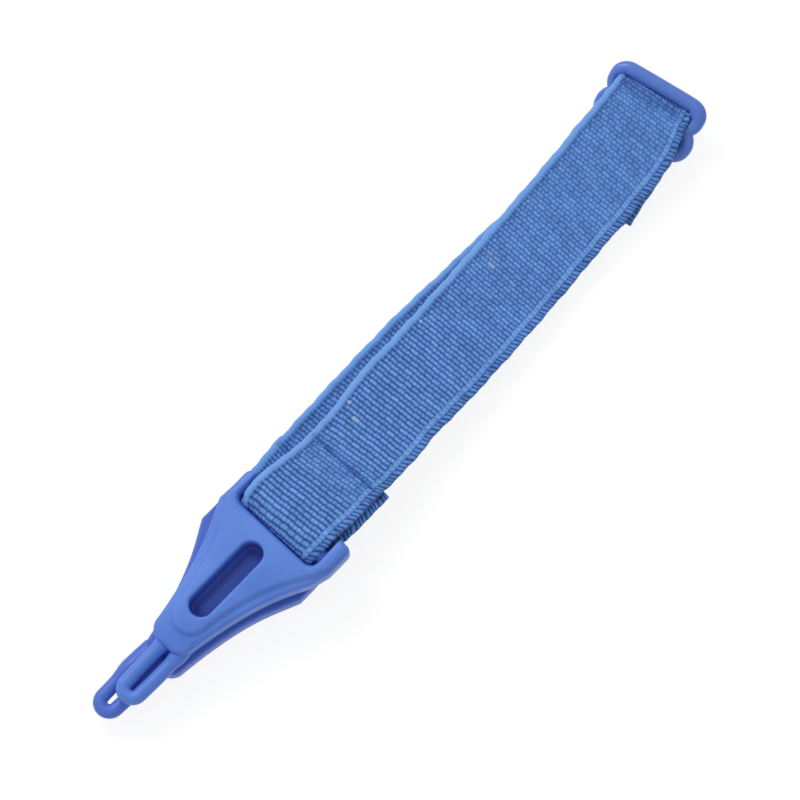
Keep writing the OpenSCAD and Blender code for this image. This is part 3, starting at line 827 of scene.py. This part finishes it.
def insetBy(points, distance, free):  # move an outline inwards along its own normals
    ahead = np.roll(points, -1, 0) - np.roll(points, 1, 0)
    inward = np.stack([-ahead[:, 1], ahead[:, 0]], 1)
    inward /= np.linalg.norm(inward, axis=1)[:, None]
    return points + inward * (distance * free)[:, None]


def ringOf(bm, outline, z):
    verts = [bm.verts.new((x, y, z)) for x, y in outline]
    for a, b in zip(verts, verts[1:] + verts[:1]):
        bm.edges.new((a, b))
    return verts


def skin(bm, rings):  # walls between rings of the same count, each made by extruding the last
    first = ringOf(bm, *rings[0])
    edges = [bm.edges.get((a, b)) for a, b in zip(first, first[1:] + first[:1])]
    start, verts = edges, first
    for outline, z in rings[1:]:
        out = bmesh.ops.extrude_edge_only(bm, edges=edges)["geom"]
        new = {}
        for v in verts:
            for e in v.link_edges:
                other = e.other_vert(v)
                if other in out and other not in verts:
                    new[v] = other
        verts = [new[v] for v in verts]
        for v, (x, y) in zip(verts, outline):
            v.co = (x, y, z)
        edges = [bm.edges.get((a, b)) for a, b in zip(verts, verts[1:] + verts[:1])]
    return start, edges


def stadium(length, width, middle, grow, count=14):
    r = width / 2
    reach = (length - width) / 2
    ends = [cornerArc((middle - reach, 0), r + grow, 90, 270, count),
            cornerArc((middle + reach, 0), r + grow, 270, 450, count)]
    return np.vstack(ends)


# profiles, as how far in and how high: a tab's lower edge, the step up to its middle, its pocket
footProfile = ((0.45, 0.0), (0.4, 0.0), (0.22, 0.03), (0.08, 0.12), (0.0, 0.38))
stepProfile = ((-0.2, 0.0), (-0.07, 0.04), (0.05, 0.14), (0.16, 0.29), (0.27, 0.45), (0.4, 0.59),
               (0.55, 0.67), (0.7, 0.7))
lipProfile = ((0.42, 0.0), (0.36, 0.0), (0.2, -0.04), (0.09, -0.12), (0.02, -0.26), (0.0, -0.45))
floorProfile = ((0.0, 0.45), (-0.06, 0.22), (-0.2, 0.06), (-0.42, 0.0), (-0.8, 0.06), (-1.2, 0.14),
                (-1.5, 0.17))


def mouldTab(name, shape, finish, place, body, node):  # its bar at the origin, its nose towards -X
    s = tabSize
    low, top = -s["height"] / 2, s["height"] / 2
    rim = top - s["rimDrop"]
    outer, raised, free, riseFree, foot = tabOutlines(shape["ears"])
    bm = bmesh.new()
    rings = [(insetBy(outer, d, free), low + z) for d, z in footProfile]
    rings += [(insetBy(outer, s["edge"] * (1 - math.sin(a)), free), rim - s["edge"] * (1 - math.cos(a)))
              for a in np.radians([90, 70, 50, 32, 16, 4])]
    rings += [(insetBy(raised, d, foot if d < 0 else riseFree), rim + z) for d, z in stepProfile]
    bottomEdges, topEdges = skin(bm, rings)
    pocketShade = bm.verts.layers.float.new("pocketShade")
    length, width, middle = s["pocket"]
    pocketRings = [(stadium(length, width, middle, grow), top + z) for grow, z in lipProfile]
    pocketRings += [(stadium(length, width, middle, grow), low + s["floor"] + z) for grow, z in floorProfile]
    pocketTop, pocketFloor = skin(bm, pocketRings)
    for v in bm.verts:
        reach, depth = abs(v.co.x - middle), top - v.co.z
        inPocket = reach < length / 2 + 0.01 and abs(v.co.y) < width / 2 + 0.01
        if inPocket and low + 0.5 < v.co.z < top - 0.05:  # painted shade, darker with depth and towards the ends
            v[pocketShade] = float(smooth((depth - 0.2) / 1.6) * (0.4 + 0.5 * smooth((reach - 3.2) / 2.6)))
    for face in bm.faces:
        face.smooth = True
    bmesh.ops.triangle_fill(bm, use_beauty=True, edges=topEdges + pocketTop)
    bmesh.ops.triangle_fill(bm, use_beauty=True, edges=bottomEdges)
    bmesh.ops.triangle_fill(bm, use_beauty=True, edges=pocketFloor)
    bmesh.ops.recalc_face_normals(bm, faces=bm.faces[:])
    bar = [(0, y, 0) for y in np.linspace(-s["fork"] / 2 - 0.3, s["fork"] / 2 + 0.3, 12)]
    barRadii = [s["barRadius"] * (1 + 0.25 * smooth((abs(p[1]) - 7.5) / 0.5)) for p in bar]
    rodAlong(bm, bar, [float(r) for r in barRadii], sides=20)
    root, r, reach = s["loopRoot"], s["loopRadius"], s["loopEnd"] - shape["further"]
    run = np.linspace(root, reach, 14)
    bow = s["loopBow"] * np.sin(np.linspace(0, math.pi, 14))
    line = [(x, r + b, 0) for x, b in zip(run, bow)]
    line += [(x, y, 0) for x, y in cornerArc((reach, 0), r, 90, 270, 19)[1:-1]]
    line += [(x, -r - b, 0) for x, b in zip(run[::-1], bow[::-1])]
    more, start, over = shape["flare"]
    flare = [1 + more * float(smooth((p[0] - start) / over)) for p in line]
    loopRings = rodAlong(bm, line, [s["rod"] * f for f in flare], sides=20)
    swing = (Matrix.Translation((root, s["loopSide"], low + s["rod"]))
             @ Matrix.Rotation(math.radians(shape["bend"]), 4, "Z") @ Matrix.Translation((-root, 0, 0)))
    bmesh.ops.transform(bm, matrix=swing, verts=[v for ring in loopRings for v in ring])
    for face in bm.faces:
        face.smooth = True
    bmesh.ops.transform(bm, matrix=place, verts=bm.verts[:])
    bmesh.ops.recalc_face_normals(bm, faces=bm.faces[:])
    piece = finished(bm, name, finish)
    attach(piece, body)
    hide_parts(node)


frontTabPlace = placing(layout["frontBar"], layout["frontYaw"], (-layout["frontPitch"], "Y"))
rearTabPlace = placing(layout["rearBar"], layout["rearYaw"], (180, "X"))  # turned over
mouldTab("frontTab", frontTabShape, tabPlastic, frontTabPlace, "front_tab_body", "front_tab")
mouldTab("rearTab", rearTabShape, rearShadedPlastic, rearTabPlace, "rear_tab_body", "rear_tab")
print("tabs moulded")


sliderSize = {
    "bar": 0.95, "width": 16.7, "clear": 14.4, "corner": 2.9, "slotCorner": 1.25,
    "bow": 0.12, "freeBar": 0.36,  # how far the outer bars bow, how much fuller the free one is
    # the right ends of the free and of the sewn lobe, thicker inwards and outwards; the left ends inwards
    "stout": (0.85, 0.7), "bulge": (0.15, 0.5), "leftStout": 0.25,
}


def roundedRectangle(halfX, halfY, radius, perCorner=12, perSide=16):
    out = []
    for sx, sy, start in ((1, 1, 0), (-1, 1, 90), (-1, -1, 180), (1, -1, 270)):
        centre = (sx * (halfX - radius), sy * (halfY - radius))
        out.append(cornerArc(centre, radius, start, start + 90, perCorner))
        if start in (90, 270):  # down a long side
            a, b = out[-1][-1], out[-1][-1] * [1, -1]
            t = np.linspace(0, 1, perSide + 2)[1:-1, None]
            out.append(a + (b - a) * t)
    return np.vstack(out)


def mouldSlider():  # two lobes that share the middle bar
    s = sliderSize
    pitch, bar = layout["barPitch"], s["bar"]
    bm = bmesh.new()
    for lobe, side in enumerate((1, -1)):
        outer = roundedRectangle(pitch / 2 + bar, s["width"] / 2, s["corner"])
        inner = roundedRectangle(pitch / 2 - bar, s["clear"] / 2, s["slotCorner"])
        points, radii = [], []
        for o, i in zip(outer, inner):
            atEnd = float(smooth((-o[1] - 4.5) / 2.5))
            atLeft = float(smooth((o[1] - 4.5) / 2.5))
            o = o - [0, s["bulge"][lobe] * atEnd]
            i = i + [0, s["stout"][lobe] * atEnd - s["leftStout"] * atLeft]
            middle, half = (o + i) / 2, np.linalg.norm(o - i) / 2
            far = smooth(middle[0] / 1.5)  # 1 on the lobe's outer bar
            bow = s["bow"] * float(far) * (1 - (middle[1] / 8) ** 2)
            shrink = 1.0 if side > 0 or middle[0] > -0.5 else 0.96
            fuller = s["freeBar"] / 2 * float(far) if side > 0 else 0.0
            points.append((side * (middle[0] + pitch / 2 + bow - fuller), middle[1], 0))
            radii.append((half * shrink + fuller, bar * shrink * (1 + 0.12 * atEnd) + fuller * 0.6))
        if side < 0:
            points, radii = points[::-1], radii[::-1]
        rodAlong(bm, points, radii, sides=20, closed=True)
    place = placing((layout["slider"][0], layout["slider"][1], layout["middleBar"][1]), layout["sliderYaw"],
                    (-layout["sliderTilt"], "Y"))
    bmesh.ops.transform(bm, matrix=place, verts=bm.verts[:])
    bmesh.ops.recalc_face_normals(bm, faces=bm.faces[:])
    for face in bm.faces:
        face.smooth = True
    piece = finished(bm, "sliderMoulding", sliderPlastic)
    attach(piece, "slider_body")
    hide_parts("slider")


mouldSlider()
print("slider moulded")


studio = {
    "target": (-0.064, 0.005, 0.0), "elevation": 72.0, "heading": 50.6, "distance": 407.0, "lens": 121.19,
    "sky": (0.97, 0.98, 1.0, 1.0), "skyLevel": 0.5,
    "key": ((0.12, 0.42, 0.5), 0.35, 1.9), "fill": ((-0.5, -0.3, 0.45), 0.5, 0.25),  # place, size, watts
    "ground": (0.86, 0.86, 0.86, 1.0), "groundWhite": 0.77, "groundGlow": 1.12, "groundDrop": 0.00003,
}


def seenDirectly(tree):  # 1 for what the camera sees, also by mirror or through glass
    camera, glossy, through = (addNode(tree, "ShaderNodeLightPath", output=name) for name in
                               ("Is Camera Ray", "Is Glossy Ray", "Is Transmission Ray"))
    return (camera + glossy + through).clamped()


def layGround():
    bm = bmesh.new()
    bmesh.ops.create_grid(bm, x_segments=2, y_segments=2, size=3.0)
    bmesh.ops.translate(bm, vec=(0, 0, -studio["groundDrop"]), verts=bm.verts[:])
    mesh = bpy.data.meshes.new("ground")
    bm.to_mesh(mesh)
    bm.free()
    ground = bpy.data.objects.new("ground", mesh)
    bpy.context.scene.collection.objects.link(ground)
    finish = Finish("groundPaper", {"Roughness": 0.9, "Specular IOR Level": 0.1})
    finish.feed("Base Color", studio["ground"])
    paper = Value(finish.tree, finish.shader.outputs[0])
    glow = finish.node("ShaderNodeEmission", None, {"Strength": studio["groundGlow"]})
    white = seenDirectly(finish.tree) * studio["groundWhite"]
    blend = finish.node("ShaderNodeMixShader", None, {0: white, 1: paper, 2: glow})
    plug(finish.tree, finish.tree.nodes["Material Output"].inputs["Surface"], blend)
    mesh.materials.append(finish.material)


def lightStudio():
    world = bpy.data.worlds.new("studio")
    bpy.context.scene.world = world
    world.use_nodes = True
    tree = world.node_tree
    sky = addNode(tree, "ShaderNodeBackground", None,
                  {"Color": studio["sky"], "Strength": studio["skyLevel"]})
    white = addNode(tree, "ShaderNodeBackground", None, {"Color": (1, 1, 1, 1)})  # what the camera sees
    camera = addNode(tree, "ShaderNodeLightPath", output="Is Camera Ray")
    blend = addNode(tree, "ShaderNodeMixShader", None, {0: camera, 1: sky, 2: white})
    plug(tree, tree.nodes["World Output"].inputs["Surface"], blend)
    for name in ("key", "fill"):
        spot, size, power = studio[name]
        lamp = bpy.data.lights.new(name, "AREA")
        lamp.shape = "DISK"
        lamp.size = size
        lamp.energy = power
        holder = bpy.data.objects.new(name, lamp)
        holder.location = spot
        holder.rotation_euler = (-Vector(spot)).to_track_quat("-Z", "Y").to_euler()
        bpy.context.scene.collection.objects.link(holder)


def aimCamera():
    up, side = math.radians(studio["elevation"]), math.radians(studio["heading"])
    look = Vector((math.sin(side) * math.cos(up), math.cos(side) * math.cos(up), -math.sin(up)))
    camera = bpy.data.cameras.new("camera")
    camera.lens = studio["lens"]
    camera.sensor_width = 36.0
    camera.clip_start, camera.clip_end = 0.01, 10.0
    holder = bpy.data.objects.new("camera", camera)
    holder.location = (Vector(studio["target"]) - look * studio["distance"]) * mm
    holder.rotation_euler = look.to_track_quat("-Z", "Y").to_euler()
    bpy.context.scene.collection.objects.link(holder)
    bpy.context.scene.camera = holder


layGround()
lightStudio()
aimCamera()
bpy.context.scene.view_settings.view_transform = "Standard"
print("studio set")
